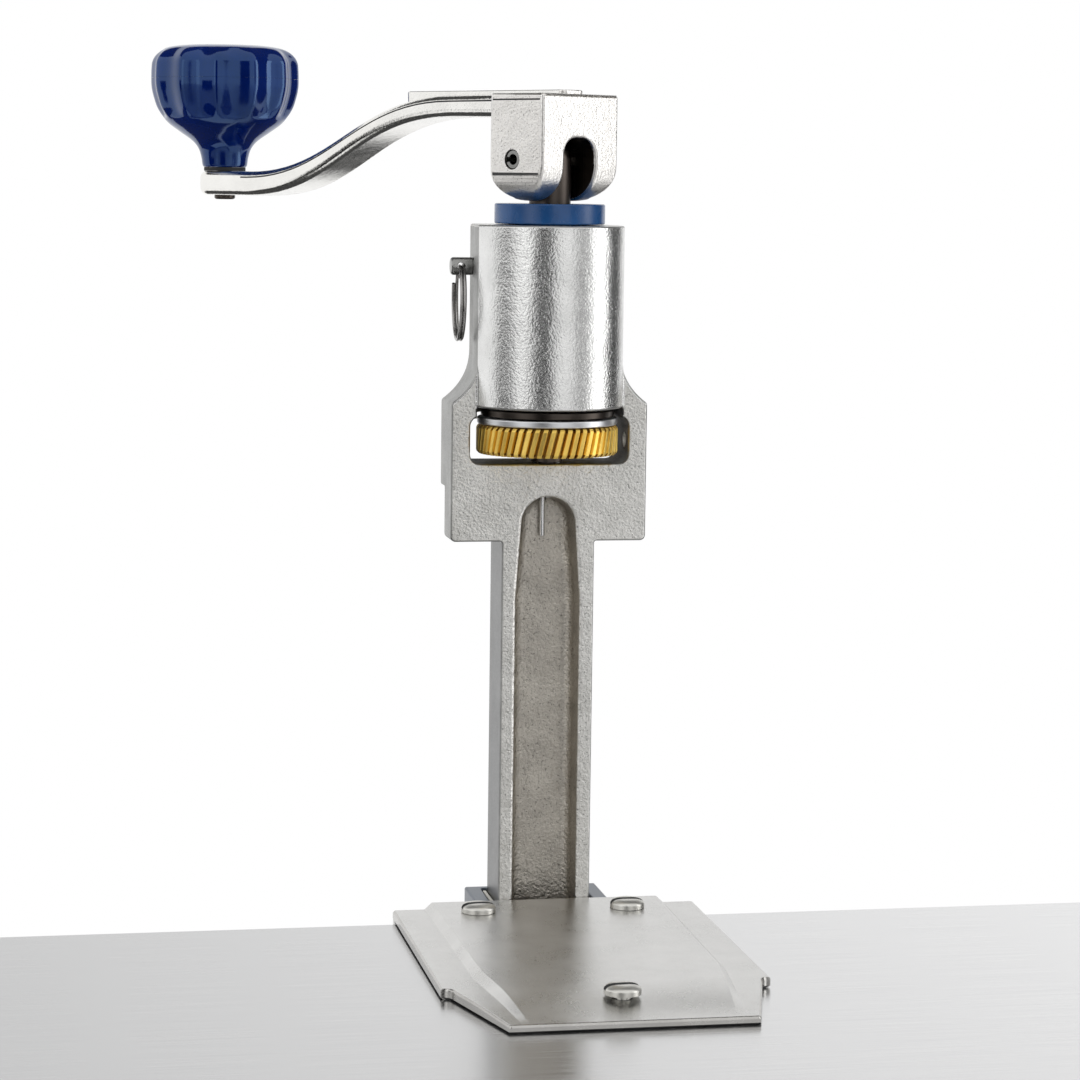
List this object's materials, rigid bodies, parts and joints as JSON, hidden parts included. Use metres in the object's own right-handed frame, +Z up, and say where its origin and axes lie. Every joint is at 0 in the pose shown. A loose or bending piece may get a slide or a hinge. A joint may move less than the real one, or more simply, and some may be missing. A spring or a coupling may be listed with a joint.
{
  "type": "bench can opener",
  "caption": "Table-edge manual can opener: a cast bar sliding in a screwed-down base, a toothed feed gear in its head and a folding crank with a fluted knob.",
  "frame": {"origin": "on the table, in the middle of the base plate's flat underside", "axes": "+Z up along the bar, +X to the right seen from the front, -Y to the front, over the table"},
  "size_m": [0.1523, 0.2678, 0.4599],
  "materials": {
    "cast_steel": "fine sand-cast texture, bright plated",
    "satin_steel": "satin cast",
    "plate_steel": "matt satin",
    "bright_steel": "bright turned",
    "dark_steel": "oiled dark",
    "guide_steel": "blue-grey, machined",
    "gear_brass": "bright, golden",
    "bronze": "plain bearing bronze",
    "navy_gloss": "polished navy",
    "blue_matt": "matt mid-blue, turned",
    "white_nylon": "natural nylon",
    "black_rubber": "black"
  },
  "bodies": {
    "base": {"base_plate": "plate_steel", "base_screw_rear_left": "bright_steel", "base_screw_rear_right": "bright_steel", "base_screw_front": "bright_steel", "bar_guide": "guide_steel", "guide_liner_left": "white_nylon", "guide_liner_right": "white_nylon", "guide_screw_upper_left": "dark_steel", "guide_screw_lower_left": "dark_steel", "guide_screw_upper_right": "dark_steel", "guide_screw_lower_right": "dark_steel"},
    "bar": {"bar_casting": "cast_steel", "bar_stop_pin": "bright_steel", "locating_rod": "bright_steel", "thrust_collar": "blue_matt", "housing_bushing": "bronze", "journal_bushing": "bronze", "knife_holder": "satin_steel", "holder_screw_left": "dark_steel", "holder_screw_right": "dark_steel", "knife": "bright_steel", "knife_screw_left": "dark_steel", "knife_screw_right": "dark_steel"},
    "arbor": {"arbor": "dark_steel", "thrust_spacer": "dark_steel", "gear_disc": "bright_steel", "feed_gear": "gear_brass"},
    "crank": {"crank_handle": "satin_steel", "crank_pin": "dark_steel", "knob_stud": "dark_steel", "knob_washer": "black_rubber"},
    "knob": {"knob_body": "navy_gloss", "knob_cap": "navy_gloss"},
    "release_pin": {"release_pin": "bright_steel"},
    "pull_ring": {"pull_ring": "bright_steel"}
  },
  "joints": [
    {"name": "bar_slide", "type": "slide", "parent": "base", "child": "bar", "axis": [0, 0, 1], "range_m": [-0.106, 0.126]},
    {"name": "arbor_spin", "type": "hinge", "parent": "bar", "child": "arbor", "pos_m": [0, 0.07, 0.17], "axis": [0, 0, 1], "continuous": true},
    {"name": "crank_fold", "type": "hinge", "parent": "arbor", "child": "crank", "pos_m": [0, 0.07, 0.2212], "axis": [0.8039, 0.5948, 0], "range_deg": [0, 90]},
    {"name": "knob_spin", "type": "hinge", "parent": "crank", "child": "knob", "pos_m": [-0.08387, 0.18334, 0.23], "axis": [0, 0, 1], "continuous": true},
    {"name": "release_pin_pull", "type": "slide", "parent": "bar", "child": "release_pin", "axis": [-1, 0, 0], "range_m": [0, 0.018]},
    {"name": "ring_swing", "type": "hinge", "parent": "release_pin", "child": "pull_ring", "pos_m": [-0.0246, 0.0794, 0.1903], "axis": [0, 1, 0], "range_deg": [-5, 100]}
  ]
}
